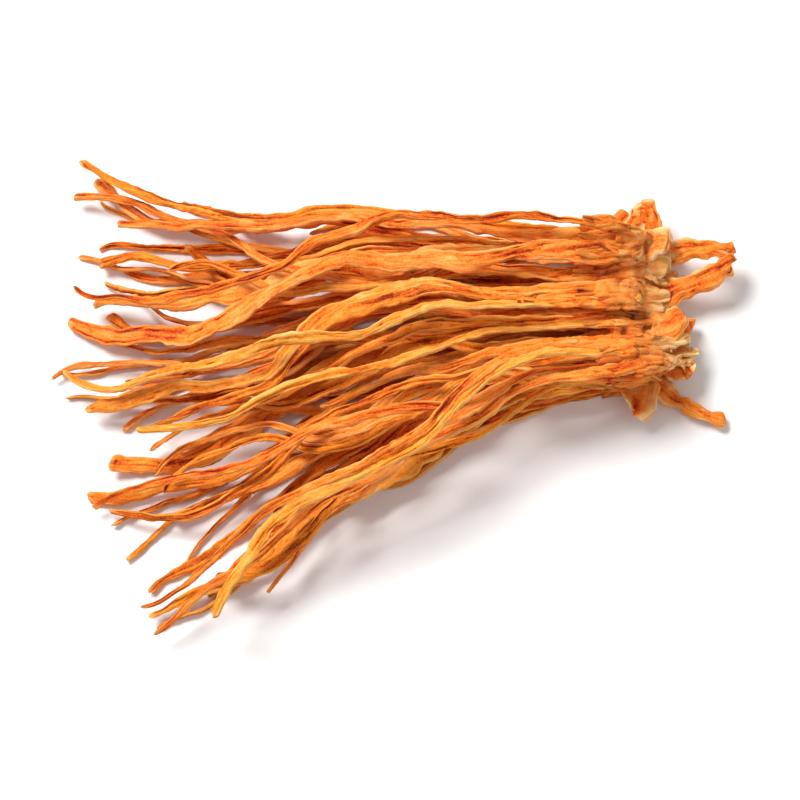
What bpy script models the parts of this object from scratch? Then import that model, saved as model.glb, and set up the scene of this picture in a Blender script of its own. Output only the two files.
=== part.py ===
"""A tuft of dried cordyceps, lying down as it dried: slender shrivelled stems that fan from one torn base.

The origin is the middle of the base's flat underside. The stems run towards -X, and +Z is up.
Lengths below are in millimetres, and MM turns them into the scene's metres.
"""

import math
import random

import bmesh
import bpy
import numpy as np

MM = 0.001

# The tuft: how many stems, and how wide it fans
STEM_COUNT = 48
GROWTH_SEED = 11
CLEARANCE = 0.32
FLOOR = 0.0
ROOT_HALF_SPREAD = 20.5
TIP_HALF_SPREAD = 48.0
FANNED_AT = 125.0
BOW = 3.0
TOP_STEMS = 12
STRAY, TOP_STRAY = 0.4, 0.66
OUTERMOST = 1.12

# The wall of the base that the stems grow from. From above it falls back a little more at each bend.
WALL_X = -8.0
WALL_BENDS = (4.0, 10.0)
WALL_SLOPE_PER_BEND = 0.2

# The stems. SAG, STEEPEST and TIP_DROOP are how far a ring may lie below the line or ring before it.
SHORTEST, LONGEST = 64.0, 140.0
RING_STEP = 10.6
TIP_ROUNDING = 1.6
FORK_ROOM = 0.5
ROUTES_TRIED = 18
SAG = 0.5
STEEPEST = 2.6
TIP_DROOP = 0.3

# The stems' section: a flattened six-sided ring, as shares of its half width and half thickness
SECTION = ((-1.0, 0.0), (-0.55, 1.0), (0.55, 1.0), (1.0, 0.0), (0.55, -1.0), (-0.55, -1.0))
LEFT_PRONG = {"side": (-1.0, 0.0), "top": (-0.3, 1.0), "seam_top": (0.78, 0.5),
              "seam_bottom": (0.78, -0.5), "bottom": (-0.3, -1.0)}

# The heap's height is kept on a grid while the stems are laid. PLACES is how many points a segment has.
CELL = 0.4
GRID_LOW = (-165.0, -75.0)
GRID_SIZE = (400, 375)
PLACES = 28

# The base: lumps as (x, y, z, three half sizes)
LUMPS = (
    (-3.0, 0.0, 4.0, 9.0, 20.5, 8.0),
    (1.0, 9.0, 4.0, 8.0, 12.0, 7.0),
    (2.0, -8.0, 3.5, 9.0, 12.0, 6.5),
)
FOOT_RADIUS = 2.1
VOXEL = 1.2
BASE_TRIANGLE_SHARE = 0.13

# Limbs on the base's free side: root x, y, z, heading, length, curl, rise, three radii and flatness
LIMBS = {
    "claw_upper_limb": (4.0, 9.5, 8.0, 0.5, 25.0, -1.15, 3.0, 2.6, 2.0, 1.5, 0.7),
    "claw_lower_limb": (4.0, 3.0, 6.0, 0.05, 23.5, 0.35, 4.0, 3.0, 2.1, 1.5, 0.7),
    "torn_lip": (3.0, 15.0, 7.0, 0.8, 13.0, 0.9, 3.0, 4.0, 3.6, 2.4, 0.5),
    "back_lip": (0.0, 18.5, 4.0, 1.3, 10.0, -0.8, 0.0, 3.6, 3.0, 2.0, 0.55),
    "pale_knob": (2.0, -3.5, 4.5, -0.2, 11.0, -0.5, -0.5, 4.4, 3.8, 3.0, 0.75),
    "front_lip": (3.0, -10.5, 5.0, -0.5, 11.0, -0.9, 1.5, 4.2, 3.4, 2.2, 0.5),
    "short_stem": (2.0, -15.5, 3.5, -1.15, 23.0, 1.0, -1.5, 2.5, 1.9, 1.2, 0.75),
    "front_curl": (-1.0, -18.0, 5.0, -1.6, 9.0, -0.9, 1.0, 3.2, 2.6, 1.8, 0.55),
    "raised_curl": (2.0, 12.5, 12.0, 0.5, 10.0, -0.9, 3.0, 3.2, 2.6, 1.8, 0.5),
    "raised_flap": (2.0, -6.0, 11.0, -0.3, 10.0, 0.9, 2.0, 3.4, 2.8, 2.0, 0.5),
}


def wall_at(y):
    """How far along X the base's wall stands at this y."""
    beyond = sum(np.maximum(0.0, np.abs(y) - bend) for bend in WALL_BENDS)
    return WALL_X + WALL_SLOPE_PER_BEND * beyond


def smooth_step(t):
    t = np.clip(t, 0.0, 1.0)
    return t * t * (3.0 - 2.0 * t)


def stem_kind(index):
    """Two in five stems are pairs grown side by side, and a few are broad blades."""
    if index % 12 == 7:
        return "blade"
    return "pair" if index % 5 in (1, 3) else "single"


def stem_route(rng, root_y, length, stray):
    """A stem's path seen from above, one point a millimetre, with its sideways directions.

    The stems leave the base side by side and stray sideways later, the topmost ones the most.
    """
    along = np.arange(0.0, LONGEST + 8.0)
    start_share = root_y / ROOT_HALF_SPREAD
    end_share = min(OUTERMOST, max(-OUTERMOST, start_share + rng.gauss(0.0, stray)))
    share = start_share + (end_share - start_share) * smooth_step((along - 12.0) / (length - 12.0))
    opened = (along / FANNED_AT) ** 1.25
    half_spread = ROOT_HALF_SPREAD + (TIP_HALF_SPREAD - ROOT_HALF_SPREAD) * opened
    flow = half_spread * share + BOW * np.sin(math.tau * along / 150.0)
    angle = np.arctan(np.gradient(flow))

    ease = smooth_step((along - 6.0) / 30.0)
    for low, high, shortest, longest in ((0.1, 0.34, 46.0, 90.0), (0.08, 0.28, 22.0, 36.0)):
        swing, period, start = rng.uniform(low, high), rng.uniform(shortest, longest), rng.uniform(0.0, math.tau)
        angle = angle + swing * ease * np.sin(math.tau * along / period + start)
    angle = angle + rng.gauss(0.0, 0.6) * smooth_step((along - length + 22.0) / 30.0)
    step_x, step_y = -np.cos(angle), np.sin(angle)
    x = wall_at(root_y) - CLEARANCE + np.concatenate([[0.0], np.cumsum(step_x)[:-1]])
    y = root_y + np.concatenate([[0.0], np.cumsum(step_y)[:-1]])
    return {"along": along, "x": x, "y": y, "side_x": -step_y, "side_y": step_x}


def width_profile(rng, along, length, full):
    """A stem's half width from root to tip: a ribbon, a club or a taper, with slow swellings."""
    t = along / length
    kind = rng.choice(("ribbon", "club", "taper", "taper"))
    ends = {"ribbon": (0.74, 1.0, 0.8), "club": (0.66, 0.95, 1.2), "taper": (0.76, 1.1, 0.5)}[kind]
    width = np.interp(t, (0.0, 0.5, 0.93), ends)
    swell = 0.1 * np.sin(math.tau * along / rng.uniform(26.0, 44.0) + rng.uniform(0.0, math.tau))
    return full * width * (1.0 + swell)


def ring_places(start, end):
    """Where rings stand between two lengths along a stem, about RING_STEP apart."""
    count = max(2, round((end - start) / RING_STEP))
    return np.linspace(start, end, count + 1)


def strand_on(route, along, offset, rise, half_width, half_thickness, roll):
    """One strand's rings: their middles, sideways directions and half sizes. offset is sideways."""
    x, y, side_x, side_y = (
        np.interp(along, route["along"], route[key]) for key in ("x", "y", "side_x", "side_y")
    )
    return {
        "x": x + side_x * offset, "y": y + side_y * offset, "side_x": side_x, "side_y": side_y,
        "rise": rise, "half_width": half_width, "half_thickness": half_thickness, "roll": roll,
    }


def plan_single(rng, route, length, blade):
    """A stem of one strand, or a broad blade."""
    full = rng.uniform(2.5, 3.3) if blade else rng.uniform(1.15, 1.75)
    thick = rng.uniform(0.8, 0.95) if blade else rng.uniform(0.78, 1.0)
    twist = 0.35 if blade else 0.75
    along = np.append(ring_places(0.0, length - TIP_ROUNDING), length)
    roll = twist * np.sin(math.tau * along / rng.uniform(70.0, 130.0) + rng.uniform(0.0, math.tau))
    width = width_profile(rng, along, length, full)
    thickness = thick * np.interp(along / length, (0.0, 0.4, 1.0), (0.75, 1.0, 0.85))
    width[-1] *= 0.35
    thickness[-1] *= 0.45
    level = np.zeros(len(along))
    return [strand_on(route, along, level, level, width, thickness, roll)], 0


def plan_pair(rng, route, length):
    """Two strands grown together side by side up to a fork, then two free prongs."""
    fork = length * rng.uniform(0.35, 0.68)
    shared = ring_places(0.0, fork)
    full = rng.uniform(1.15, 1.6)
    thick = rng.uniform(0.8, 1.0)
    swing, start = rng.uniform(80.0, 140.0), rng.uniform(0.0, math.tau)
    shorter = rng.choice((-1, 1))
    strands = []
    for side in (-1, 1):
        own_length = length - (rng.uniform(4.0, 30.0) if side == shorter else 0.0)
        own_length = max(own_length, fork + 26.0)
        free = np.append(ring_places(fork, own_length - TIP_ROUNDING)[1:], own_length)
        along = np.concatenate([shared, free])
        parted = np.clip((along - fork) / (own_length - fork), 0.0, 1.0)
        width = width_profile(rng, along, own_length, full)
        thickness = thick * np.interp(along / own_length, (0.0, 0.4, 1.0), (0.75, 1.0, 0.85))
        width[-1] *= 0.35
        thickness[-1] *= 0.45
        roll = 0.3 * np.sin(math.tau * along / swing + start)
        roll = roll + parted * rng.uniform(-0.6, 0.6)
        apart = rng.uniform(1.5, 6.0) * parted**1.3 + FORK_ROOM * smooth_step(parted * 6.0)
        reach = 0.8 * width[: len(shared)].mean()
        strands.append(strand_on(
            route, along, side * (reach * np.cos(roll) + apart), side * reach * np.sin(roll) * (parted <= 0.0),
            width, thickness, roll,
        ))
    return strands, len(shared) - 1


def section_points(strand, height, ring, corners):
    """Corners of one ring, given as shares of its half sizes, turned by its roll."""
    across = np.array([c[0] for c in corners]) * strand["half_width"][ring]
    up = np.array([c[1] for c in corners]) * strand["half_thickness"][ring]
    cosine, sine = math.cos(strand["roll"][ring]), math.sin(strand["roll"][ring])
    sideways = across * cosine - up * sine
    x = strand["x"][ring] + strand["side_x"][ring] * sideways
    y = strand["y"][ring] + strand["side_y"][ring] * sideways
    z = height[ring] + strand["rise"][ring] + across * sine + up * cosine
    return np.column_stack([x, y, z])


def swept_surface(strand, height):
    """Points all over a strand's outside, no more than a cell apart: (segment, place, around, xyz)."""
    corners = []
    for first, second in zip(SECTION, SECTION[1:] + SECTION[:1]):
        for share in np.arange(6) / 6.0:
            corners.append([a + (b - a) * share for a, b in zip(first, second)])
    rings = np.array([section_points(strand, height, i, corners) for i in range(len(height))])
    places = np.linspace(0.0, 1.0, PLACES)[None, :, None, None]
    return rings[:-1, None] * (1.0 - places) + rings[1:, None] * places


def cells_of(points):
    column = ((points[..., 0] - GRID_LOW[0]) / CELL).astype(int)
    row = ((points[..., 1] - GRID_LOW[1]) / CELL).astype(int)
    return np.clip(column, 1, GRID_SIZE[0] - 2), np.clip(row, 1, GRID_SIZE[1] - 2)


def widened(heap):
    """The heap's height with every stem one cell wider all round."""
    wide = heap.copy()
    for across in (-1, 0, 1):
        for along in (-1, 0, 1):
            wide = np.maximum(wide, np.roll(heap, (across, along), (0, 1)))
    return wide


def lifts_needed(strand, ground):
    """For each place along each segment, how high the middle has to be to lie clear of the ground."""
    flat = np.zeros(len(strand["x"]))
    surface = swept_surface(strand, flat)
    under = ground[cells_of(surface)]
    need = np.where(under > FLOOR, under + CLEARANCE, FLOOR) - surface[..., 2]
    return need.max(axis=2)


def drape(strands, fork_ring, ground, loft):
    """Ring heights at which the stem lies on the heap, smooth and no lower than its loft."""
    needs = [lifts_needed(strand, ground) for strand in strands]
    heights = [np.interp(np.linspace(0, 1, len(s["x"])), np.linspace(0, 1, len(loft)), loft) for s in strands]
    share = np.linspace(0.0, 1.0, PLACES)
    weight = (1.0 - share) ** 2 + share**2
    for _ in range(60):
        for height, need in zip(heights, needs):
            level = height[:-1, None] * (1.0 - share) + height[1:, None] * share
            short = np.maximum(0.0, need - level)
            near = (short * (1.0 - share) / weight).max(axis=1)
            far = (short * share / weight).max(axis=1)
            raised = np.zeros(len(height))
            raised[:-1] = near
            raised[1:] = np.maximum(raised[1:], far)
            height += raised
            middle = 0.5 * (height[:-3] + height[2:-1]) - SAG
            height[1:-2] = np.maximum(height[1:-2], middle)
            height[0] = max(height[0], height[1] - STEEPEST)
            height[-2] = max(height[-2], height[-3] - STEEPEST)
            height[-1] = max(height[-1], height[-2] - TIP_DROOP)
        if len(heights) == 2:
            tied = np.maximum(heights[0][: fork_ring + 1], heights[1][: fork_ring + 1])
            for height in heights:
                height[: fork_ring + 1] = tied
    return heights


def lowest_root(rng, ground, half):
    """Where along the wall a stem of this half width would lie lowest, or nearly so."""
    room = ROOT_HALF_SPREAD - half
    places = []
    for y in np.arange(-room, room, 0.5):
        x = wall_at(y)
        strip = np.array([[[x - back, y + side] for side in np.linspace(-half, half, 7)] for back in (1, 5, 9, 14)])
        places.append((ground[cells_of(strip)].max() + rng.uniform(0.0, 0.5), y))
    return min(places)[1]


def plan_stem(rng, index, ground):
    length = LONGEST - (LONGEST - SHORTEST) * rng.random() ** 1.4
    kind = stem_kind(index)
    root_y = lowest_root(rng, ground, {"single": 1.3, "pair": 2.6, "blade": 2.6}[kind])
    route = stem_route(rng, root_y, length, TOP_STRAY if index >= STEM_COUNT - TOP_STEMS else STRAY)
    if kind == "pair":
        return plan_pair(rng, route, length)
    return plan_single(rng, route, length, kind == "blade")


def lay_stems():
    """Lays the stems on each other from the bottom up. Of several that could grow next, the lowest does."""
    rng = random.Random(GROWTH_SEED)
    heap = np.full(GRID_SIZE, FLOOR)
    stems = []
    for index in range(STEM_COUNT):
        ground = widened(heap)
        top = index / (STEM_COUNT - 1.0)
        arch = rng.uniform(0.0, 1.0) ** 2 * 5.0 * top
        tip_lift = max(0.0, rng.uniform(-4.0, 4.0))
        t = np.linspace(0.0, 1.0, 24)
        loft = 0.8 + arch * np.sin(math.pi * np.clip(t * 1.15, 0.0, 1.0)) ** 2
        loft = loft + tip_lift * smooth_step((t - 0.75) / 0.25)
        best = None
        for _ in range(ROUTES_TRIED):
            strands, fork_ring = plan_stem(rng, index, ground)
            heights = drape(strands, fork_ring, ground, loft)
            cost = np.mean([h.mean() for h in heights]) + 0.3 * max(h.max() for h in heights)
            if best is None or cost < best[0]:
                best = (cost, strands, fork_ring, heights)
        _, strands, fork_ring, heights = best
        for strand, height in zip(strands, heights):
            surface = swept_surface(strand, height)
            np.maximum.at(heap, cells_of(surface), surface[..., 2])
        stems.append((strands, fork_ring, heights))
    return stems


def place_ring(face, names, places):
    """Moves a face's corners to their places, in metres."""
    for vert, name in zip(face.verts, names):
        vert.co = places[name] * MM


def extruded(bm, face, names, places):
    face = bmesh.ops.extrude_discrete_faces(bm, faces=[face])["faces"][0]
    place_ring(face, names, places)
    return face


def on_wall(places):
    """Sets a root ring's corners against the base's wall, one clearance away."""
    for point in places.values():
        point[0] = wall_at(point[1]) - CLEARANCE
    return places


def prong_ring(strand, height, ring, side):
    """The five corners of one strand of a pair. side is -1 for the left strand and 1 for the right one."""
    names = list(LEFT_PRONG)
    corners = [(-side * a, b) for a, b in LEFT_PRONG.values()]
    return dict(zip(names, section_points(strand, height, ring, corners)))


def pair_ring(strands, heights, ring):
    """The eight corners of two strands grown together, with a groove above and below their seam."""
    left = prong_ring(strands[0], heights[0], ring, -1)
    right = prong_ring(strands[1], heights[1], ring, 1)
    both = {"left_" + name: point for name, point in left.items() if "seam" not in name}
    both.update({"right_" + name: point for name, point in right.items() if "seam" not in name})
    for name in ("seam_top", "seam_bottom"):
        both[name] = 0.5 * (left[name] + right[name])
    return both


def grow_single(bm, strand, height):
    """One tube of rings, extruded from its root."""
    names = list(range(len(SECTION)))

    def ring_at(ring):
        return dict(zip(names, section_points(strand, height, ring, SECTION)))

    root = on_wall(ring_at(0))
    face = bm.faces.new([bm.verts.new(root[name] * MM) for name in names])
    for ring in range(1, len(height)):
        face = extruded(bm, face, names, ring_at(ring))


def grow_pair(bm, strands, heights, fork_ring):
    """A doubled tube up to the fork, where its end is split and each half grows on by itself."""
    names = ["left_side", "left_top", "seam_top", "right_top",
             "right_side", "right_bottom", "seam_bottom", "left_bottom"]
    root = on_wall(pair_ring(strands, heights, 0))
    face = bm.faces.new([bm.verts.new(root[name] * MM) for name in names])
    for ring in range(1, fork_ring + 1):
        face = extruded(bm, face, names, pair_ring(strands, heights, ring))
    corner = dict(zip(names, face.verts))
    name_of = {vert: name for name, vert in corner.items()}
    other, _ = bmesh.utils.face_split(face, corner["seam_top"], corner["seam_bottom"])
    for half in (face, other):
        held = [name_of[vert] for vert in half.verts]
        is_left = "left_side" in held
        side, strand, height = (-1, strands[0], heights[0]) if is_left else (1, strands[1], heights[1])
        own = [name.replace("left_", "").replace("right_", "") for name in held]
        for ring in range(fork_ring + 1, len(height)):
            half = extruded(bm, half, own, prong_ring(strand, height, ring, side))


def close_and_face_out(bm):
    open_edges = [edge for edge in bm.edges if edge.is_boundary]
    if open_edges:
        bmesh.ops.holes_fill(bm, edges=open_edges, sides=0)
    bmesh.ops.recalc_face_normals(bm, faces=bm.faces)


def flesh(name, colour, roughness):
    material = bpy.data.materials.new(name)
    material.use_nodes = True
    shader = material.node_tree.nodes["Principled BSDF"]
    shader.inputs["Base Color"].default_value = (*colour, 1.0)
    shader.inputs["Roughness"].default_value = roughness
    shader.inputs["Metallic"].default_value = 0.0
    material.diffuse_color = (*colour, 1.0)
    return material


def finished_object(name, bm, material):
    mesh = bpy.data.meshes.new(name)
    bm.to_mesh(mesh)
    bm.free()
    mesh.materials.append(material)
    mesh.shade_smooth()
    built = bpy.data.objects.new(name, mesh)
    bpy.context.scene.collection.objects.link(built)
    return built


def make_stem(index, strands, fork_ring, heights):
    name = f"stem_{index + 1:02d}"
    bm = bmesh.new()
    if len(strands) == 2:
        grow_pair(bm, strands, heights, fork_ring)
    else:
        grow_single(bm, strands[0], heights[0])
    close_and_face_out(bm)
    shade = 0.9 + 0.1 * math.sin(2.4 * index)
    finished_object(name, bm, flesh(name + "_flesh", (0.86 * shade, 0.3 * shade, 0.06), 0.6))


def add_lump(bm, x, y, z, long, wide, high):
    made = bmesh.ops.create_icosphere(bm, subdivisions=3, radius=MM)
    bmesh.ops.scale(bm, verts=made["verts"], vec=(long, wide, high))
    bmesh.ops.translate(bm, verts=made["verts"], vec=(x * MM, y * MM, z * MM))


def add_limb(bm, points, radii, flatness):
    """A closed limb of ten-sided rings through these points, each with its own radius, flattened upwards."""
    points = [np.array(point, float) for point in points]
    face = None
    for i, (point, radius) in enumerate(zip(points, radii)):
        ahead = points[min(i + 1, len(points) - 1)] - points[max(i - 1, 0)]
        ahead = ahead / np.linalg.norm(ahead)
        side = np.cross((0.0, 0.0, 1.0), ahead)
        side = side / np.linalg.norm(side)
        up = np.cross(ahead, side) * flatness
        turns = [math.tau * k / 10 for k in range(10)]
        places = [point + radius * (side * math.cos(a) + up * math.sin(a)) for a in turns]
        if face is None:
            face = bm.faces.new([bm.verts.new(place * MM) for place in places])
        else:
            face = extruded(bm, face, range(10), dict(enumerate(places)))
    close_and_face_out(bm)


def add_foot(bm, rng, y, z):
    """The swollen foot of one stem, sinking back into the base."""
    start = wall_at(y)
    points = [(start - 3.0, y, z), (start + 1.0, y, z), (start + rng.uniform(5.0, 8.0), 0.92 * y, 0.8 * z + 0.4),
              (start + rng.uniform(10.0, 15.0), 0.82 * y, 0.45 * z + 1.0)]
    swell = FOOT_RADIUS * rng.uniform(0.85, 1.2)
    add_limb(bm, points, (swell, swell, swell * 1.2, swell * 0.8), 0.85)


def limb_points(x, y, z, heading, length, curl, rise):
    """A limb's middle line: out of the base at a heading, curling sideways and rising or drooping."""
    points = []
    angle = heading
    for _ in range(8):
        points.append((x, y, max(z, 1.2)))
        x += length / 7.0 * math.cos(angle)
        y += length / 7.0 * math.sin(angle)
        z += rise / 7.0
        angle += curl / 7.0
    return points


def base_keep_block():
    """The space that the base may fill: above its flat underside and behind the wall."""
    bm = bmesh.new()
    far, wide = 60.0, 45.0
    corners = [-y for y in WALL_BENDS] + [-wide, wide] + list(reversed(WALL_BENDS))
    outline = [(float(wall_at(y)), y) for y in corners]
    outline[3:3] = [(far, -wide), (far, wide)]
    face = bm.faces.new([bm.verts.new((x * MM, y * MM, 0.0)) for x, y in outline])
    made = bmesh.ops.extrude_face_region(bm, geom=[face], use_keep_orig=True)
    top = [item for item in made["geom"] if isinstance(item, bmesh.types.BMVert)]
    bmesh.ops.translate(bm, verts=top, vec=(0.0, 0.0, 60.0 * MM))
    bmesh.ops.recalc_face_normals(bm, faces=bm.faces)
    mesh = bpy.data.meshes.new("base_keep_block")
    bm.to_mesh(mesh)
    bm.free()
    block = bpy.data.objects.new("base_keep_block", mesh)
    block.hide_render = True
    block.display_type = "WIRE"
    bpy.context.scene.collection.objects.link(block)
    return block


def make_base(roots):
    """The fused mat: lumps, a foot for each strand and torn limbs, melted into one body and cut flat below."""
    rng = random.Random(GROWTH_SEED)
    bm = bmesh.new()
    for lump in LUMPS:
        add_lump(bm, *lump)
    for y, z in roots:
        add_foot(bm, rng, y, z)
    for x, y, z, heading, length, curl, rise, thick, middle, thin, flatness in LIMBS.values():
        radii = np.interp(range(8), (0, 4, 7), (thick, middle, thin))
        add_limb(bm, limb_points(x, y, z, heading, length, curl, rise), radii, flatness)
    base = finished_object("base", bm, flesh("base_flesh", (0.78, 0.5, 0.22), 0.75))
    melt = base.modifiers.new("melt", "REMESH")
    melt.mode = "VOXEL"
    melt.voxel_size = VOXEL * MM
    thin_out = base.modifiers.new("thin_out", "DECIMATE")
    thin_out.ratio = BASE_TRIANGLE_SHARE
    cut = base.modifiers.new("cut", "BOOLEAN")
    cut.operation = "INTERSECT"
    cut.solver = "EXACT"
    cut.object = base_keep_block()


def main():
    for old in list(bpy.data.objects):
        bpy.data.objects.remove(old)
    stems = lay_stems()
    for index, (strands, fork_ring, heights) in enumerate(stems):
        make_stem(index, strands, fork_ring, heights)
    roots = []
    for strands, _, heights in stems:
        for strand, height in zip(strands, heights):
            roots.append((float(strand["y"][0]), float(height[0] + strand["rise"][0])))
    make_base(roots)


main()
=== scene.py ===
"""Dresses a tuft of dried cordyceps: shrivelled orange stems that fan from one torn, pale base.

Every stem follows the rings of its own solid in the frame. Lengths are in millimetres unless a name ends in _M,
and MM turns them into metres. Stems run towards -X, and the tuft lies on z = 0.
"""

import math

import bmesh
import bpy
import numpy as np
from mathutils import Matrix, Vector, noise


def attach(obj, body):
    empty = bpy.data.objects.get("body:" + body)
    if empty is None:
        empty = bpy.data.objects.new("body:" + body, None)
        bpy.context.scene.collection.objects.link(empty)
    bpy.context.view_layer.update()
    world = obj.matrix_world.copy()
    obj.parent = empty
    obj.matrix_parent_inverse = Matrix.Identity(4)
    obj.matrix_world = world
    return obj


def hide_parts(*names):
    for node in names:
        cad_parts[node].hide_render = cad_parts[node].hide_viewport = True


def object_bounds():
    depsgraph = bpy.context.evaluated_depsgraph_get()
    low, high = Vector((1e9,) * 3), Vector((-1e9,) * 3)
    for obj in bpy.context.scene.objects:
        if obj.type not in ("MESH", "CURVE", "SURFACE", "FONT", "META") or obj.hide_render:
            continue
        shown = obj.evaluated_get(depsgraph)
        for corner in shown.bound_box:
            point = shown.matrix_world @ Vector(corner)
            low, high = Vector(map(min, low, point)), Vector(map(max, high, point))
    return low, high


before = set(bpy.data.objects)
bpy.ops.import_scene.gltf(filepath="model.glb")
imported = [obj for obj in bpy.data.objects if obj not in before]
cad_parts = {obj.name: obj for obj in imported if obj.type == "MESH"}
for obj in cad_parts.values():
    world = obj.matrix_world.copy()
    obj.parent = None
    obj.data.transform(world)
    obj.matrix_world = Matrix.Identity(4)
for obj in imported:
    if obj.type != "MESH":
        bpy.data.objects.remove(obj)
cad_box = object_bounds()

MM = 0.001

# The photograph's view: from above the front edge, so that the base stands to the right and a little up
VIEW_AZIMUTH = -10.0
VIEW_ELEVATION = 72.0
VIEW_DISTANCE_M = 0.9
VIEW_WIDTH = 198.0
VIEW_TOWARDS_FRONT = 16.5

# A stem's skin: corners round each ring and rings along it
AROUND = 32
ALONG = 320
LIMB_RINGS = 120
WEB_RINGS = 24
FOOT_AROUND = 28
FOOT_RINGS = 46
TIP_CROWDING = 1.35
BURIED = 7.0

# How the rings of the frame's solids are told apart
ROOT_RING_DEPTH = 4.0
WELD_M = 1e-6
PRONG_SPAN = 1.78

# The wall where the stems leave the base, and its bends
WALL_X = -8.0
WALL_BENDS = (4.0, 10.0)
WALL_SLOPE_PER_BEND = 0.2

# The base's skin: the size of its cells, and how far from the wall the stems' feet stay joined
SKIN_CELL = 0.42
BASE_TRIANGLES = 185000
WEB_REACH = (9.0, 24.0)
FLAKES = 16

# Limbs of the base: root x, y, z, heading, length, curl, rise, three radii and flatness
LIMBS = {
    "claw_upper_limb": (4.0, 9.5, 8.0, 0.5, 25.0, -1.15, 3.0, 2.6, 2.0, 1.5, 0.7),
    "claw_lower_limb": (4.0, 3.0, 6.0, 0.05, 23.5, 0.35, 4.0, 3.0, 2.1, 1.5, 0.7),
    "torn_lip": (3.0, 15.0, 7.0, 0.8, 13.0, 0.9, 3.0, 4.0, 3.6, 2.4, 0.5),
    "back_lip": (0.0, 18.5, 4.0, 1.3, 10.0, -0.8, 0.0, 3.6, 3.0, 2.0, 0.55),
    "pale_knob": (2.0, -3.5, 4.5, -0.2, 11.0, -0.5, -0.5, 4.4, 3.8, 3.0, 0.75),
    "front_lip": (3.0, -10.5, 5.0, -0.5, 11.0, -0.9, 1.5, 4.2, 3.4, 2.2, 0.5),
    "short_stem": (2.0, -15.5, 3.5, -1.15, 23.0, 1.0, -1.5, 2.5, 1.9, 1.2, 0.75),
    "front_curl": (-1.0, -18.0, 5.0, -1.6, 9.0, -0.9, 1.0, 3.2, 2.6, 1.8, 0.55),
    "raised_curl": (2.0, 12.5, 12.0, 0.5, 10.0, -0.9, 3.0, 3.2, 2.6, 1.8, 0.5),
    "raised_flap": (2.0, -6.0, 11.0, -0.3, 10.0, 0.9, 2.0, 3.4, 2.8, 2.0, 0.5),
}

# sRGB colours of dried flesh, from painted shade at the bottom of a furrow to a painted highlight on a ridge that
# catches the light; the palest is also the tips' own pale colour
FURROW_SHADE_BROWN = "7C2600"
FURROW_SHADE_RED = "CB4F08"
FLESH_ORANGE = "F2811D"
FLESH_LIGHT = "F99B40"
RIDGE_HIGHLIGHT_AND_TIP_PALE = "FFBC6C"
FOOT_TAN = "E98F3E"
FOOT_CREAM = "F7C078"
TORN_CREAM = "FFDC9E"
FOOT_HONEY = "E8A428"
CRUST_AND_SHADE_BROWN = "A0520F"
FLOOR_WHITE = "F4F3F2"


def linear(code):
    """An sRGB hex colour as linear RGBA."""
    parts = [int(code[i : i + 2], 16) / 255.0 for i in (0, 2, 4)]
    return tuple(p / 12.92 if p <= 0.04045 else ((p + 0.055) / 1.055) ** 2.4 for p in parts) + (1.0,)


def smooth_step(t):
    t = np.clip(t, 0.0, 1.0)
    return t * t * (3.0 - 2.0 * t)


def smooth_through(knots, values, at):
    """A smooth curve through values at the knots, read at these places."""
    values = np.asarray(values, float)
    slopes = np.gradient(values, knots, axis=0)
    left = np.clip(np.searchsorted(knots, at) - 1, 0, len(knots) - 2)
    width = knots[left + 1] - knots[left]
    share = np.clip((at - knots[left]) / width, 0.0, 1.0)
    if values.ndim == 2:
        width, share = width[:, None], share[:, None]
    rest = 1.0 - share
    return (
        values[left] * (1.0 + 2.0 * share) * rest**2
        + slopes[left] * width * share * rest**2
        + values[left + 1] * share**2 * (3.0 - 2.0 * share)
        - slopes[left + 1] * width * share**2 * rest
    )


def wander(rng, at, step):
    """A smooth random curve between about -1 and 1 that changes its mind every step millimetres."""
    knots = np.arange(at.min() - 2.0 * step, at.max() + 3.0 * step, step)
    return smooth_through(knots, rng.uniform(-1.0, 1.0, len(knots)), at)


def skin_noise(rng, turn, at, lobes, step):
    """Smooth random lumps over a skin: so many lobes round it, each about step millimetres long."""
    rows = int((at.max() - at.min()) / step) + 3
    grid = rng.uniform(-1.0, 1.0, (lobes, rows))
    across = (turn / math.tau % 1.0) * lobes
    along = (at - at.min()) / step
    i, j = np.floor(across).astype(int) % lobes, np.floor(along).astype(int)
    u, v = smooth_step(across % 1.0), smooth_step(along % 1.0)
    near = grid[i, j] * (1.0 - v) + grid[i, j + 1] * v
    next_i = (i + 1) % lobes
    far = grid[next_i, j] * (1.0 - v) + grid[next_i, j + 1] * v
    return near * (1.0 - u) + far * u


def lump_noise(places, size, seed):
    """Smooth random lumps of this size, from -1 to 1. size is a number or one for each axis."""
    grid = np.random.default_rng(seed).uniform(-1.0, 1.0, (24, 24, 24))
    scaled = places / size
    cell = np.floor(scaled).astype(int)
    share = smooth_step(scaled - cell)
    total = np.zeros(len(places))
    for corner in np.ndindex(2, 2, 2):
        weight = np.prod(np.where(corner, share, 1.0 - share), axis=1)
        total += weight * grid[tuple(((cell + corner) % 24).T)]
    return total


def fold_noise(places, size, seed):
    """Sharp creases between rounded folds: 1 in a crease, 0 on a fold."""
    return np.clip(1.0 - 3.2 * np.abs(lump_noise(places, size, seed)), 0.0, 1.0)


def unit_rows(rows):
    return rows / np.linalg.norm(rows, axis=-1, keepdims=True)


def welded_copy(name):
    """A bmesh of a node's solid, whose loose triangles are merged into one skin."""
    bm = bmesh.new()
    bm.from_mesh(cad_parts[name].data)
    bmesh.ops.remove_doubles(bm, verts=bm.verts, dist=WELD_M)
    bm.verts.index_update()
    return bm


def linked_groups(verts):
    """Splits corners into groups that edges join."""
    left, groups = set(verts), []
    for first in verts:
        if first not in left:
            continue
        left.discard(first)
        group, edge_of_group = [first], [first]
        while edge_of_group:
            vert = edge_of_group.pop()
            for edge in vert.link_edges:
                other = edge.other_vert(vert)
                if other in left:
                    left.discard(other)
                    group.append(other)
                    edge_of_group.append(other)
        groups.append(sorted(group, key=lambda v: v.index))
    return groups


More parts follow.
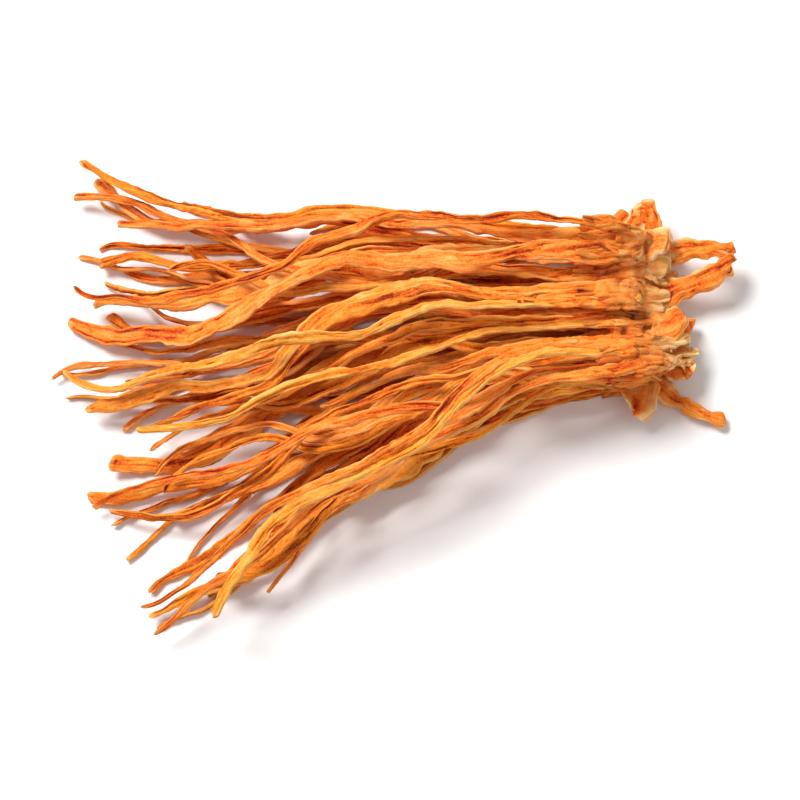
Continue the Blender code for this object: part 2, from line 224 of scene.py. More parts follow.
def follow_rings(ring, seen):
    """Rings from this one to the tip, or to a fork. The second result is the fork's first two rings."""
    rings = [ring]
    while True:
        ahead = {edge.other_vert(vert) for vert in rings[-1] for edge in vert.link_edges} - seen
        groups = linked_groups(sorted(ahead, key=lambda v: v.index))
        if len(groups) != 1:
            return rings, groups
        seen.update(groups[0])
        rings.append(groups[0])


def places_of(rings):
    return [np.array([vert.co for vert in ring]) / MM for ring in rings]


def read_rings(name):
    """A stem's rings in millimetres: those of its trunk, and those of its two prongs if it forks."""
    bm = welded_copy(name)
    root_x = max(vert.co.x for vert in bm.verts)
    ring = [vert for vert in bm.verts if vert.co.x > root_x - ROOT_RING_DEPTH * MM]
    seen = set(ring)
    trunk, starts = follow_rings(ring, seen)
    for start in starts:
        seen.update(start)
    prongs = [places_of(follow_rings(start, seen)[0]) for start in starts]
    trunk = places_of(trunk)
    bm.free()
    return trunk, prongs


def widest_axis(ring):
    apart = ring[:, None] - ring[None]
    first, second = np.unravel_index(np.argmax((apart**2).sum(axis=2)), (len(ring), len(ring)))
    axis = ring[first] - ring[second]
    axis = axis / np.linalg.norm(axis)
    return axis if axis[1] < 0.0 else -axis


def whole_ring(ring, axis):
    """Middle, axis and half width of a single strand's ring."""
    reach = ring @ axis
    low, high = ring[reach.argmin()], ring[reach.argmax()]
    span = high - low
    return (low + high) / 2.0, span / np.linalg.norm(span), np.linalg.norm(span) / 2.0


def half_ring(ring, axis, side):
    """The same for one strand of a pair, whose ring has a corner on its free side and two at the seam."""
    order = ring[np.argsort(ring @ axis * side)]
    free, seam = order[-1], order[:2].mean(axis=0)
    span = (free - seam) * side
    half = np.linalg.norm(span) / PRONG_SPAN
    axis = span / np.linalg.norm(span)
    return free - axis * half * side, axis, half


def thickness_of(ring, middle, axis, ahead):
    across = np.cross(ahead, axis)
    across = across / np.linalg.norm(across)
    return np.abs((ring - middle) @ across).max()


def strand_from(readings, rings):
    """Gathers one strand's middles, axes, half widths and half thicknesses."""
    middles = np.array([reading[0] for reading in readings])
    axes = np.array([reading[1] for reading in readings])
    widths = np.array([reading[2] for reading in readings])
    ahead = unit_rows(np.gradient(middles, axis=0))
    thick = [thickness_of(*parts) for parts in zip(rings, middles, axes, ahead)]
    return {"middles": middles, "axes": axes, "widths": widths, "thick": np.array(thick)}


def trace_single(trunk):
    axis, readings = widest_axis(trunk[0]), []
    for ring in trunk:
        reading = whole_ring(ring, axis)
        axis = reading[1]
        readings.append(reading)
    return [strand_from(readings, trunk)]


def trace_pair(trunk, prongs):
    """The two strands of a forked stem, each from the root to its own tip."""
    axis, shared = widest_axis(trunk[0]), []
    for ring in trunk:
        middle, axis, _ = whole_ring(ring, axis)
        reach = (ring - middle) @ axis
        seam = ring[np.argsort(np.abs(reach))[:2]]
        shared.append((ring, np.vstack([ring[reach < 0.0], seam]), np.vstack([ring[reach > 0.0], seam]), axis))
    prongs = sorted(prongs, key=lambda chain: float(chain[0].mean(axis=0) @ axis))
    strands = []
    for side, prong in zip((-1, 1), prongs):
        readings, rings = [], []
        for _, lower, upper, axis in shared:
            ring = np.unique((lower if side < 0 else upper).round(6), axis=0)
            readings.append(half_ring(ring, axis, side))
            rings.append(ring)
        for ring in prong:
            readings.append(half_ring(ring, readings[-1][1], side))
            rings.append(ring)
        strands.append(strand_from(readings, rings))
    return strands


def along_of(strand):
    """How far each ring lies from the root."""
    steps = np.linalg.norm(np.diff(strand["middles"], axis=0), axis=1)
    return np.concatenate([[0.0], np.cumsum(steps)])


def with_buried_root(strand, sinking):
    """Carries a strand a little way past its root, where it thins and may sink out of sight."""
    first, second = strand["middles"][:2]
    back = unit_rows(first - second) * BURIED
    down = (0.0, 0.0, sinking * (0.3 * first[2] + 0.6))
    grown = {"middles": np.vstack([first + back - down, first + back * 0.5, strand["middles"]])}
    grown["axes"] = np.vstack([strand["axes"][1]] * 3 + [strand["axes"][1:]])
    for key in ("widths", "thick"):
        grown[key] = np.concatenate([[0.35 * strand[key][0], 0.75 * strand[key][0]], strand[key]])
    return grown


def tube_template(strands, rings, around=AROUND):
    """Closed round tubes of radius 1 and length 1, side by side in one mesh."""
    bm = bmesh.new()
    bmesh.ops.create_cone(bm, cap_ends=True, cap_tris=True, segments=around, radius1=1.0, radius2=1.0, depth=1.0)
    long_edges = [e for e in bm.edges if abs(e.verts[0].co.z - e.verts[1].co.z) > 0.5]
    bmesh.ops.subdivide_edges(bm, edges=long_edges, cuts=rings - 1, use_grid_fill=True)
    bmesh.ops.translate(bm, verts=bm.verts, vec=(0.0, 0.0, 0.5))
    if strands == 2:
        made = bmesh.ops.duplicate(bm, geom=bm.verts[:] + bm.edges[:] + bm.faces[:])
        copied = [item for item in made["geom"] if isinstance(item, bmesh.types.BMVert)]
        bmesh.ops.translate(bm, verts=copied, vec=(0.0, 0.0, 10.0))
    mesh = bpy.data.meshes.new("tubes")
    bm.to_mesh(mesh)
    bm.free()
    mesh.shade_smooth()
    return mesh


def read_points(mesh):
    places = np.empty(len(mesh.vertices) * 3)
    mesh.vertices.foreach_get("co", places)
    return places.reshape(-1, 3)


def shrivelled_section(rng, turn, at, width, thin, ruffle):
    """The shape of a dried stem's section, where the flesh has sunk between its ridges.

    turn is the angle round the stem, at the length along it and width its usual half width. It gives how far
    each point lies across and up, as shares of the half width and half thickness, and how deep in a furrow.
    """
    homes = (-0.6, -0.2, 0.2, 0.6) if width < 2.1 else (-0.75, -0.5, -0.24, 0.02, 0.27, 0.52, 0.76)
    cosine, sine = np.cos(turn), np.sin(turn)
    across = np.sign(cosine) * np.abs(cosine) ** 0.8
    up = np.sign(sine) * np.abs(sine) ** 0.7
    # Edges get less than no depth, so the material paints them lighter: a painted highlight of light shining through
    # the thin edges
    depth = -0.35 * smooth_step((np.abs(across) - 0.7) / 0.25)
    for face in (1.0, -1.0):
        on_face = smooth_step(sine * face * 3.0)
        centre = 0.5 * wander(rng, at, 24.0)
        hollow = np.clip(0.4 + 0.6 * wander(rng, at, 16.0), 0.0, 1.0)
        sunk = hollow * np.exp(-(((across - centre) / 0.42) ** 2)) * on_face
        for home in homes:
            place = home + 0.34 * wander(rng, at, 13.0)
            strength = np.clip(0.35 + 1.1 * wander(rng, at, 8.0), 0.0, 1.0)
            crease = np.exp(-np.abs(across - place) / rng.uniform(0.3, 0.55) * len(homes))
            sunk = sunk + 0.85 * strength * crease * on_face
            depth = depth + 0.6 * strength * crease * on_face
        up = up - face * np.minimum(sunk, 1.3) * 0.85
        depth = depth + 0.5 * sunk
    left, right = across < 0.0, across > 0.0
    wavy = 1.0 + ruffle * (0.18 * wander(rng, at, 4.4) + 0.11 * wander(rng, at, 1.7)) * right
    wavy = wavy + ruffle * (0.18 * wander(rng, at, 5.0) + 0.11 * wander(rng, at, 1.9)) * left
    cupped = (0.7 * wander(rng, at, 24.0) * (across**2 - 0.4) + 0.5 * wander(rng, at, 7.0) * across) * thin
    return across * wavy, up + cupped, np.clip(depth, -0.4, 1.4) / 1.4


def shape_strand(rng, strand, unit, flare=0.25, crinkle=1.0, sinking=1.0, torn_end=False):
    """Places a unit tube's corners on a strand, and says what its flesh is like at each.

    A torn end stays broad and is ragged, where a grown tip tapers.
    """
    strand = with_buried_root(strand, sinking)
    knots = along_of(strand)
    length = knots[-1]
    turn = np.arctan2(unit[:, 1], unit[:, 0])
    spread = np.hypot(unit[:, 0], unit[:, 1])
    at = length * (1.0 - (1.0 - np.clip(unit[:, 2], 0.0, 1.0)) ** TIP_CROWDING)

    middles = smooth_through(knots, strand["middles"], at)
    ahead = unit_rows(
        smooth_through(knots, strand["middles"], at + 0.2) - smooth_through(knots, strand["middles"], at - 0.2)
    )
    axes = smooth_through(knots, strand["axes"], at)
    axes = unit_rows(axes - ahead * (axes * ahead).sum(axis=1, keepdims=True))
    upward = np.cross(ahead, axes)
    upward = upward * np.where(upward[:, 2:].mean() < 0.0, -1.0, 1.0)
    width = smooth_through(knots[:-1], strand["widths"][:-1], np.minimum(at, knots[-2]))
    thick = smooth_through(knots[:-1], strand["thick"][:-1], np.minimum(at, knots[-2]))
    outer = smooth_step((at / length - 0.55) / 0.25)
    width, thick = np.maximum(width, 0.66 * width.mean() * outer), np.maximum(thick, 0.75 * thick.mean() * outer)
    width = width * (1.0 + 0.14 * wander(rng, at, 8.0) + 0.07 * wander(rng, at, 2.6))

    tip, bluntness = rng.uniform(0.6, 2.0), rng.uniform(1.8, 4.5)
    if torn_end:
        tip, bluntness = 0.8, 3.0
    closing = np.sqrt(np.clip(1.0 - np.clip((at - length + tip) / tip, 0.0, 1.0) ** bluntness, 0.0, 1.0))
    taper, narrowing = rng.uniform(6.0, 22.0), rng.uniform(0.0, 0.35) - 0.5 * torn_end
    closing = closing * (1.0 - narrowing * smooth_step((at - length + taper) / taper))
    from_root = at - BURIED
    flare = 1.0 + flare * (1.0 - smooth_step(from_root / 16.0))
    thin = min(0.8, width.mean() / thick.mean() * 0.35) / max(1.0, crinkle)
    across, up, depth = shrivelled_section(rng, turn, at, width.mean(), thin, max(1.0, crinkle))
    twist = 0.4 * wander(rng, at, 17.0) * smooth_step(from_root / 20.0)
    across, up = across * width * flare, up * thick
    crossed = np.clip(0.25 + 0.9 * wander(rng, at, 12.0), 0.0, 1.0)
    lumps = 0.16 * skin_noise(rng, turn, at, 5, 3.6) + 0.1 * skin_noise(rng, turn, at, 9, 1.5)
    lumps = lumps + 0.07 * skin_noise(rng, turn, at, 16, 3.2)
    lumps = crinkle * (lumps + 0.17 * crossed * skin_noise(rng, turn, at, 6, 0.8))
    across, up = across + lumps * np.cos(turn), up + lumps * np.sin(turn)
    across, up = across * np.cos(twist) - up * np.sin(twist), across * np.sin(twist) + up * np.cos(twist)
    scale = (spread * closing)[:, None]
    sideways = wander(rng, at, 9.0) + 0.45 * wander(rng, at, 4.2)
    drift = np.column_stack([np.zeros(len(at)), sideways, 0.5 * wander(rng, at, 9.0)])
    drift = drift * (0.42 * smooth_step(from_root / 12.0))[:, None]
    places = middles + drift + (axes * across[:, None] + upward * up[:, None]) * scale
    ragged = (0.7 + 1.1 * torn_end) * skin_noise(rng, turn, at, 6, 30.0) * smooth_step((at - length + 2.5) / 2.5)
    ragged = ragged * spread
    places = places + ahead * ragged[:, None]
    grain = np.column_stack([1.6 * np.cos(turn), 1.6 * np.sin(turn), at]) + rng.uniform(0.0, 400.0)
    tone = rng.uniform(0.0, 1.0) - 0.5 * np.exp((at - length) / 30.0)
    yellowness = np.full(len(at), rng.uniform(-0.4, 1.0))
    hook = rng.choice((-1.0, 1.0)) * rng.uniform(0.4, 3.0) * (1.0 - torn_end)
    places[:, 1] += hook * np.clip((at - length + 13.0) / 13.0, 0.0, 1.0) ** 2
    places[:, 2] = np.maximum(places[:, 2], 0.02)
    return {
        "places": places,
        "grain": grain,
        # Raised lumps lower the furrow value and hollows raise it, so the material paints highlight on lumps and shade
        # in hollows
        "furrow": depth - 0.6 * lumps,
        "from_root": from_root,
        "to_tip": length - at,
        "tone": tone,
        "yellowness": yellowness,
    }


def finish_piece(name, mesh, material, slot, *nodes):
    """Makes an object of a mesh, hangs it on the root body, and hides the frame's nodes that it stands for."""
    if not mesh.materials:
        mesh.materials.append(material)
    piece = bpy.data.objects.new(name, mesh)
    bpy.context.scene.collection.objects.link(piece)
    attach(piece, "root")
    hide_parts(*nodes)
    return piece


def keep_values(mesh, name, kind, values):
    """Stores one value or vector a corner, for the material to read."""
    layer = mesh.attributes.new(name, kind, "POINT")
    layer.data.foreach_set("vector" if kind == "FLOAT_VECTOR" else "value", values.astype(np.float32).ravel())


def make_stem(name, index, templates, material):
    trunk, prongs = read_rings(name)
    strands = trace_pair(trunk, prongs) if prongs else trace_single(trunk)
    mesh = templates[len(strands)].copy()
    mesh.name = name + "_flesh"
    unit = read_points(mesh)
    parts = {}
    for number, strand in enumerate(strands):
        mine = (unit[:, 2] > 5.0) == (number == 1)
        rng = np.random.default_rng(1000 + 10 * index + number)
        shaped = shape_strand(rng, strand, unit[mine] - (0.0, 0.0, 10.0 * number))
        for key, values in shaped.items():
            whole = parts.setdefault(key, np.zeros((len(unit),) + values.shape[1:]))
            whole[mine] = values
    mesh.vertices.foreach_set("co", (parts.pop("places") * MM).astype(np.float32).ravel())
    for key, values in parts.items():
        keep_values(mesh, key, "FLOAT_VECTOR" if values.ndim == 2 else "FLOAT", values)
    mesh.update()
    finish_piece(name + "_flesh", mesh, material, "stem_flesh", name)
    return strands


def add_node(tree, kind, links=None, values=None, **settings):
    """Adds a node with its settings, its sockets' values and the links into it."""
    node = tree.nodes.new(kind)
    for name, value in settings.items():
        setattr(node, name, value)
    for socket, value in (values or {}).items():
        node.inputs[socket].default_value = value
    for socket, source in (links or {}).items():
        tree.links.new(source, node.inputs[socket])
    return node


def set_ramp(node, *stops):
    """Gives a colour ramp its stops, as (place, hex colour or grey level)."""
    ramp = node.color_ramp
    while len(ramp.elements) > 1:
        ramp.elements.remove(ramp.elements[-1])
    for number, (place, colour) in enumerate(stops):
        element = ramp.elements[0] if number == 0 else ramp.elements.new(place)
        element.position = place
        element.color = linear(colour) if isinstance(colour, str) else (colour, colour, colour, 1.0)
    return node.outputs["Color"]


def new_material(name, roughness, subsurface):
    """A material with a Principled shader, set up for dried flesh that lets a little light through."""
    material = bpy.data.materials.new(name)
    material.use_nodes = True
    tree = material.node_tree
    shader = tree.nodes["Principled BSDF"]
    shader.inputs["Roughness"].default_value = roughness
    shader.inputs["IOR"].default_value = 1.45
    shader.inputs["Specular IOR Level"].default_value = 0.25
    shader.inputs["Subsurface Weight"].default_value = subsurface
    shader.inputs["Subsurface Radius"].default_value = (1.0, 0.35, 0.12)
    shader.inputs["Subsurface Scale"].default_value = 0.6 * MM
    return material, tree, shader


def attribute(tree, name):
    return add_node(tree, "ShaderNodeAttribute", attribute_name=name)


def blended(tree, factor, first, second):
    """Mixes two colours. Each is a socket or a hex colour."""
    links, values = {"Factor": factor}, {}
    for socket, colour in (("A", first), ("B", second)):
        if isinstance(colour, str):
            values[socket] = linear(colour)
        else:
            links[socket] = colour
    node = tree.nodes.new("ShaderNodeMix")
    node.data_type = "RGBA"
    tree.links.new(factor, node.inputs["Factor"])
    for socket, number in (("A", 6), ("B", 7)):
        if socket in values:
            node.inputs[number].default_value = values[socket]
        else:
            tree.links.new(links[socket], node.inputs[number])
    return node.outputs[2]


def sum_of(tree, terms, start):
    """Adds sockets, each times its weight, to a starting value."""
    total = None
    for socket, weight in terms:
        values = {1: weight, 2: start} if total is None else {1: weight}
        links = {0: socket} if total is None else {0: socket, 2: total}
        total = add_node(tree, "ShaderNodeMath", links, values, operation="MULTIPLY_ADD").outputs[0]
    return total


def grain_noise(tree, grain, across, along, detail, roughness=0.6):
    """Noise that follows the stem. across and along are the sizes of its features in millimetres."""
    scaled = add_node(
        tree, "ShaderNodeVectorMath", {0: grain}, {1: (1.0 / across, 1.0 / across, 1.0 / along)}, operation="MULTIPLY"
    ).outputs[0]
    made = add_node(
        tree, "ShaderNodeTexNoise", {"Vector": scaled}, {"Scale": 1.0, "Detail": detail, "Roughness": roughness}
    )
    return made.outputs["Fac"]


def flesh_colour(tree, furrow, creasing=1.0):
    """Orange flesh, made redder and darker in its furrows and crease lines by painted shade, and pale on its ridges by
    a painted highlight. Gives its colour and the parts of its relief.
    """
    grain = attribute(tree, "grain").outputs["Vector"]
    tone = attribute(tree, "tone").outputs["Fac"]
    fibres = grain_noise(tree, grain, 0.34, 4.0, 3.0)
    blotches = grain_noise(tree, grain, 1.7, 6.5, 2.0)
    specks = grain_noise(tree, grain, 0.38, 0.55, 2.0, 0.75)
    lines = grain_noise(tree, grain, 0.8, 9.0, 1.0)
    off_line = add_node(tree, "ShaderNodeMath", {0: lines}, {1: 0.5}, operation="SUBTRACT").outputs[0]
    off_line = add_node(tree, "ShaderNodeMath", {0: off_line}, operation="ABSOLUTE").outputs[0]
    creases = add_node(
        tree, "ShaderNodeMapRange", {"Value": off_line}, {"From Max": 0.035, "To Min": creasing, "To Max": 0.0}
    ).outputs[0]
    # Furrow depth and crease lines darken the flesh as painted shade, and low furrow values on edges and lumps lighten
    # it as a painted highlight; fibres, blotches, specks and tone are its own colour
    shade = sum_of(
        tree,
        ((furrow, -0.6), (fibres, 0.42), (blotches, 0.6), (specks, 0.62), (tone, 0.28), (creases, -0.16)),
        -0.35,
    )
    ramp = add_node(tree, "ShaderNodeValToRGB", {"Fac": shade})
    flesh = set_ramp(
        ramp, (0.0, FURROW_SHADE_BROWN), (0.18, FURROW_SHADE_RED), (0.4, FLESH_ORANGE), (0.6, FLESH_LIGHT), (0.9, RIDGE_HIGHLIGHT_AND_TIP_PALE)
    )
    hue = sum_of(tree, ((attribute(tree, "yellowness").outputs["Fac"], 0.013), (blotches, 0.016)), 0.49)
    flesh = add_node(tree, "ShaderNodeHueSaturation", {"Color": flesh, "Hue": hue}).outputs["Color"]
    return {"colour": flesh, "fibres": fibres, "blotches": blotches, "specks": specks, "creases": creases}


def paler_at_foot(tree, flesh, parts):
    """The flesh turns tan and then cream where the stems grow together."""
    from_root = attribute(tree, "from_root").outputs["Fac"]
    blotches, specks = parts["blotches"], parts["specks"]
    tan_share = clamped(tree, sum_of(tree, ((from_root, -0.05), (blotches, 1.6)), -0.6))
    tan = blended(tree, tan_share, flesh, FOOT_TAN)
    cream_share = clamped(tree, sum_of(tree, ((from_root, -0.045), (blotches, 2.6), (specks, 0.9)), -2.0))
    return blended(tree, cream_share, tan, FOOT_CREAM)


def clamped(tree, value):
    return add_node(tree, "ShaderNodeClamp", {"Value": value}).outputs[0]


def set_relief(tree, shader, parts, depth):
    """Gives a shader fine wrinkles, at most depth millimetres deep."""
    terms = ((parts["fibres"], 0.5), (parts["specks"], 0.7), (parts["blotches"], 0.3), (parts["creases"], -0.4))
    height = sum_of(tree, terms, 0.0)
    bump = add_node(tree, "ShaderNodeBump", {"Height": height}, {"Strength": 0.9, "Distance": depth * MM})
    tree.links.new(bump.outputs["Normal"], shader.inputs["Normal"])


def dried_stem_flesh():
    """Dried fungus stems, shrunk as they lost their water: matt orange ribbons, redder in their furrows by painted
    shade and pale on their ridges by a painted highlight.
    """
    material, tree, shader = new_material("dried_stem_flesh", 0.66, 0.1)
    parts = flesh_colour(tree, attribute(tree, "furrow").outputs["Fac"])
    to_tip = attribute(tree, "to_tip").outputs["Fac"]
    tip_share = clamped(tree, sum_of(tree, ((to_tip, -0.4), (parts["blotches"], 1.8)), -0.35))
    tipped = blended(tree, tip_share, parts["colour"], RIDGE_HIGHLIGHT_AND_TIP_PALE)
    tree.links.new(paler_at_foot(tree, tipped, parts), shader.inputs["Base Color"])
    set_relief(tree, shader, parts, 0.3)
    return material


def dried_mat_flesh(name, creasing, glassy):
    """The torn foot of the tuft: tan and cream folds, honey patches where it is glassy, and brown that is partly crust
    on its specks and partly painted shade in its furrows.
    """
    material, tree, shader = new_material(name, 0.62, 0.18)
    furrow = attribute(tree, "furrow").outputs["Fac"]
    torn = attribute(tree, "torn").outputs["Fac"]
    grain = attribute(tree, "grain").outputs["Vector"]
    parts = flesh_colour(tree, furrow, creasing)
    blotches, specks = parts["blotches"], parts["specks"]
    coloured = paler_at_foot(tree, parts["colour"], parts)
    # The torn cream is the base's own colour, kept out of the furrows so that they stay darker as painted shade
    pale_share = clamped(tree, sum_of(tree, ((torn, 1.2), (furrow, -1.4), (blotches, 2.6)), -1.95))
    pale = blended(tree, pale_share, coloured, TORN_CREAM)
    patches = grain_noise(tree, grain, 3.4, 4.5, 1.0)
    honey_share = clamped(tree, sum_of(tree, ((patches, 9.0), (torn, 1.6)), -7.6 + glassy))
    honeyed = blended(tree, honey_share, pale, FOOT_HONEY)
    # Brown from the specks is crust, and brown from furrow depth is painted shade
    crust_and_furrow_shade_share = clamped(tree, sum_of(tree, ((specks, 2.2), (torn, 0.5), (furrow, 2.2)), -3.0))
    crusted_and_shaded = blended(tree, crust_and_furrow_shade_share, honeyed, CRUST_AND_SHADE_BROWN)
    tree.links.new(crusted_and_shaded, shader.inputs["Base Color"])
    gloss = add_node(tree, "ShaderNodeMapRange", {"Value": honey_share}, {"To Min": 0.64, "To Max": 0.35})
    tree.links.new(gloss.outputs[0], shader.inputs["Roughness"])
    set_relief(tree, shader, parts, 0.36)
    return material


def wall_at(y):
    """Where the wall stands at this sideways place: it leans back towards its ends."""
    return WALL_X + WALL_SLOPE_PER_BEND * sum(np.maximum(0.0, np.abs(y) - bend) for bend in WALL_BENDS)


def limb_strand(x, y, z, heading, length, curl, rise, thick, middle, thin, flatness):
    """A limb's middles, axes and sizes. It is a little stouter than its solid, and covers it."""
    points, angle = [], heading
    for _ in range(8):
        points.append((x, y, max(z, 1.2)))
        x += length / 7.0 * math.cos(angle)
        y += length / 7.0 * math.sin(angle)
        z += rise / 7.0
        angle += curl / 7.0
    middles = np.array(points)
    ahead = unit_rows(np.gradient(middles, axis=0))
    radii = np.interp(range(8), (0, 4, 7), (thick, middle, thin))
    return {
        "middles": middles,
        "axes": unit_rows(np.cross(ahead, (0.0, 0.0, 1.0))),
        "widths": radii * 1.05 + 0.1,
        "thick": radii * flatness + 0.2,
    }


def with_foot(rng, strand):
    """Carries a strand back through the base to its own torn end, where it sinks and leans to the middle."""
    x, y, z = strand["middles"][0]
    further = rng.uniform(-3.5, 3.5)
    steps = ((15.5 + further, 0.8, 0.44, 1.2), (10.5, 0.86, 0.6, 1.2), (5.2, 0.93, 0.86, 0.5))
    behind = [(x + back, inward * y + rng.uniform(-0.6, 0.6), share * z + rise) for back, inward, share, rise in steps]
    grown = {"middles": np.vstack([behind, strand["middles"]])}
    grown["axes"] = np.vstack([strand["axes"][1]] * 4 + [strand["axes"][1:]])
    for key in ("widths", "thick"):
        root = strand[key][0]
        grown[key] = np.concatenate([[0.8 * root, 1.05 * root, 1.1 * root], strand[key]])
    return grown


def web_places(rng, strand, unit):
    """A stem's share of the web: stouter than the stem at the wall, and inside it where the web ends."""
    knots = along_of(strand)
    wall, reach = knots[3], rng.uniform(*WEB_REACH)
    at = np.clip(unit[:, 2], 0.0, 1.0) * (wall + reach)
    middles = smooth_through(knots, strand["middles"], at)
    axes = smooth_through(knots, strand["axes"], at)
    ahead = unit_rows(
        smooth_through(knots, strand["middles"], at + 0.3) - smooth_through(knots, strand["middles"], at - 0.3)
    )
    upward = np.cross(ahead, axes)
    stages = (0.0, 5.0, wall - 1.0, wall + 0.5 * reach, wall + reach)
    wider = np.interp(at, stages, (0.2, 0.9, 1.8, 0.6, -0.9))
    thicker = np.interp(at, stages, (-0.5, -0.1, 0.6, 0.25, -0.75))
    across = unit[:, 0] * np.maximum(0.15, smooth_through(knots, strand["widths"], at) + wider)
    up = unit[:, 1] * np.maximum(0.1, smooth_through(knots, strand["thick"], at) + thicker)
    return middles + axes * across[:, None] + upward * up[:, None]


def foot_of(strand):
    """The part of a footed strand from the wall back to its torn end."""
    foot = {key: values[3::-1] for key, values in strand.items()}
    foot["axes"] = -foot["axes"]
    return foot


def melted(bm, cell):
    """One closed skin round everything in a bmesh, made of cells of this size in millimetres."""
    mesh = bpy.data.meshes.new("melting")
    bm.to_mesh(mesh)
    bm.free()
    holder = bpy.data.objects.new("melting", mesh)
    bpy.context.scene.collection.objects.link(holder)
    melt = holder.modifiers.new("melt", "REMESH")
    melt.mode = "VOXEL"
    melt.voxel_size = cell * MM
    graph = bpy.context.evaluated_depsgraph_get()
    skin = bpy.data.meshes.new_from_object(holder.evaluated_get(graph))
    bpy.data.objects.remove(holder)
    return skin


def thinned(mesh, triangles):
    """The same mesh with at most so many triangles."""
    share = triangles / sum(len(face.vertices) - 2 for face in mesh.polygons)
    if share >= 1.0:
        return mesh
    holder = bpy.data.objects.new("thinning", mesh)
    bpy.context.scene.collection.objects.link(holder)
    thin = holder.modifiers.new("thin", "DECIMATE")
    thin.ratio = share
    graph = bpy.context.evaluated_depsgraph_get()
    result = bpy.data.meshes.new_from_object(holder.evaluated_get(graph))
    bpy.data.objects.remove(holder)
    return result


def relaxed(mesh, places, rounds):
    """Moves each corner towards its neighbours, so that joined parts flow into webs."""
    edges = np.empty(len(mesh.edges) * 2, dtype=np.int32)
    mesh.edges.foreach_get("vertices", edges)
    first, second = edges.reshape(-1, 2).T
    count = np.bincount(first, minlength=len(places)) + np.bincount(second, minlength=len(places))
    for _ in range(rounds):
        total = np.empty_like(places)
        for axis in range(3):
            total[:, axis] = np.bincount(first, places[second, axis], len(places))
            total[:, axis] += np.bincount(second, places[first, axis], len(places))
        places = places + 0.5 * (total / count[:, None] - places)
    return places


def normals_of(mesh):
    normals = np.empty(len(mesh.vertices) * 3)
    mesh.vertex_normals.foreach_get("vector", normals)
    return normals.reshape(-1, 3)


def closeness_to_limbs(places):
    """1 on the outer part of a limb's solid, which its own skin covers, and 0 elsewhere."""
    closest = np.zeros(len(places))
    for limb in LIMBS.values():
        strand = limb_strand(*limb)
        for middle, width in list(zip(strand["middles"], strand["widths"]))[2:]:
            apart = np.linalg.norm(places - middle, axis=1)
            closest = np.maximum(closest, smooth_step((1.9 * width - apart) / width))
    return closest


def flesh_values(mesh, places, furrow, torn, grain=None, from_root=None):
    """Stores what the base's material reads."""
    if from_root is None:
        from_root = wall_at(places[:, 1]) - places[:, 0]
    warp = 0.8 * lump_noise(places, 4.0, 5)
    if grain is None:
        grain = np.column_stack([places[:, 1] + warp, places[:, 2] - warp, places[:, 0]])
    keep_values(mesh, "grain", "FLOAT_VECTOR", grain)
    keep_values(mesh, "furrow", "FLOAT", furrow)
    keep_values(mesh, "from_root", "FLOAT", from_root)
    keep_values(mesh, "torn", "FLOAT", torn)
    keep_values(mesh, "tone", "FLOAT", np.full(len(places), 0.35))


def make_base(strands, template, material):
    """The foot: the solid's form with every stem's web grown onto it, in one folded skin."""
    rng = np.random.default_rng(77)
    bm = welded_copy("base")
    solid_places = np.array([vert.co for vert in bm.verts]) / MM
    on_limb = closeness_to_limbs(solid_places) > 0.6
    bmesh.ops.delete(bm, geom=[vert for vert, covered in zip(bm.verts, on_limb) if covered], context="VERTS")
    bmesh.ops.holes_fill(bm, edges=[edge for edge in bm.edges if edge.is_boundary])
    bmesh.ops.recalc_face_normals(bm, faces=bm.faces)
    unit = read_points(template)
    for strand in strands:
        web = template.copy()
        web.vertices.foreach_set("co", (web_places(rng, strand, unit) * MM).astype(np.float32).ravel())
        bm.from_mesh(web)
        bpy.data.meshes.remove(web)
    mesh = melted(bm, SKIN_CELL)
    places = relaxed(mesh, read_points(mesh) / MM, 5)
    mesh.vertices.foreach_set("co", (places * MM).astype(np.float32).ravel())
    mesh.update()
    normals = normals_of(mesh)
    free = smooth_step((places[:, 0] - wall_at(places[:, 1]) + 1.0) / 6.0)
    long_folds = fold_noise(places, (20.0, 1.7, 5.0), 1)
    mat_folds = fold_noise(places, (7.0, 3.0, 3.0), 2)
    fine_folds = fold_noise(places, (15.0, 0.8, 4.0), 3)
    lumps = lump_noise(places, 5.0, 4)
    # furrow follows the folds that lift pushes in below, and the material paints them darker as shade
    furrow = 0.8 * long_folds**2 + 0.6 * mat_folds**3 * free + 0.5 * fine_folds**2
    lift = 0.3 * lumps + 0.35 * lumps * free - 0.5 * long_folds - 0.4 * mat_folds * free - 0.22 * fine_folds
    lift = lift * (1.0 - closeness_to_limbs(places)) - 0.7 * closeness_to_limbs(places)
    places = places + normals * lift[:, None]
    places[:, 2] = np.maximum(places[:, 2], 0.0)
    torn = np.clip((places[:, 0] + 2.0) / 9.0 + 0.5 * lumps, 0.0, 1.0)
    torn = torn * (0.5 + 0.5 * smooth_step((5.0 - places[:, 1]) / 12.0))
    mesh.vertices.foreach_set("co", (places * MM).astype(np.float32).ravel())
    flesh_values(mesh, places, np.clip(furrow, 0.0, 1.2), torn)
    mesh.materials.clear()
    mesh = thinned(mesh, BASE_TRIANGLES)
    mesh.update()
    mesh.shade_smooth()
    finish_piece("base_flesh", mesh, material, "base_flesh", "base")
    return places, normals


